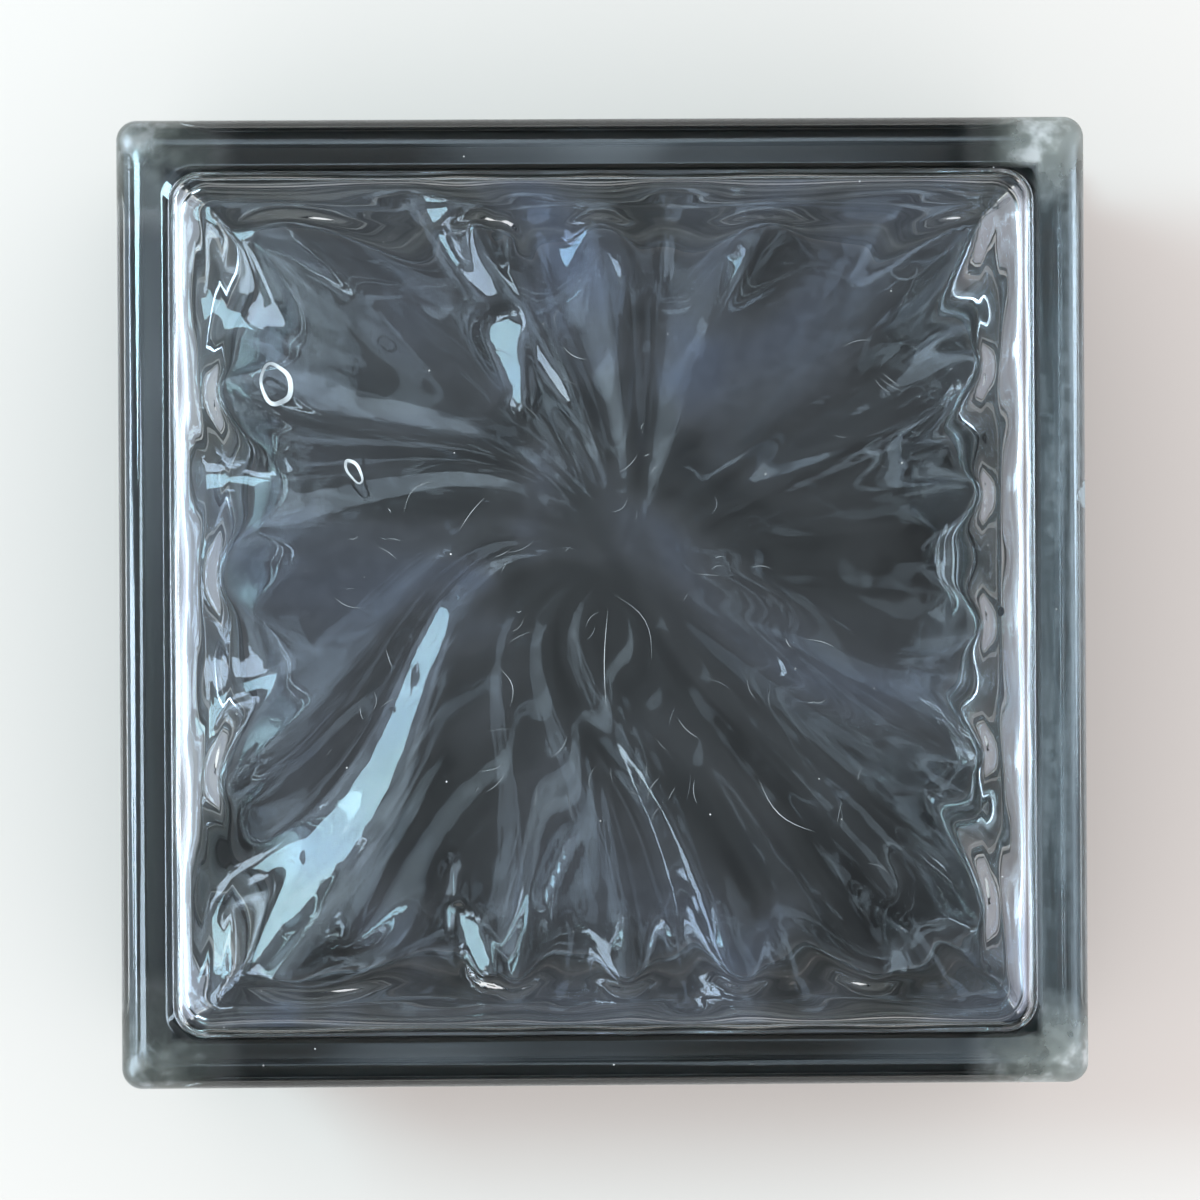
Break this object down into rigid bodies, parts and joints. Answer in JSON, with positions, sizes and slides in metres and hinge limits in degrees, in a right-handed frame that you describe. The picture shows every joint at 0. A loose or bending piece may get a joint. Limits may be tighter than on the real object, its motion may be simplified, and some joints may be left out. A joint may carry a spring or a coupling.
{
  "type": "hollow glass block",
  "caption": "Clear square hollow glass building block, smooth outer faces with a raised panel, waved inner faces and mortar channels round its sides.",
  "frame": {"origin": "middle of the bounding box in plan, on the floor under the back face", "axes": "+Z through the thickness towards the front face, +Y towards the top edge of the front face"},
  "size_m": [0.19, 0.19, 0.08],
  "materials": {
    "front_glass": "clear pressed glass, fire-polished outside, with wear scratches and lightly frosted rim corners",
    "back_glass": "clear pressed glass, fire-polished outside"
  },
  "bodies": {
    "root": {"front_half": "front_glass", "back_half": "back_glass"}
  },
  "joints": []
}
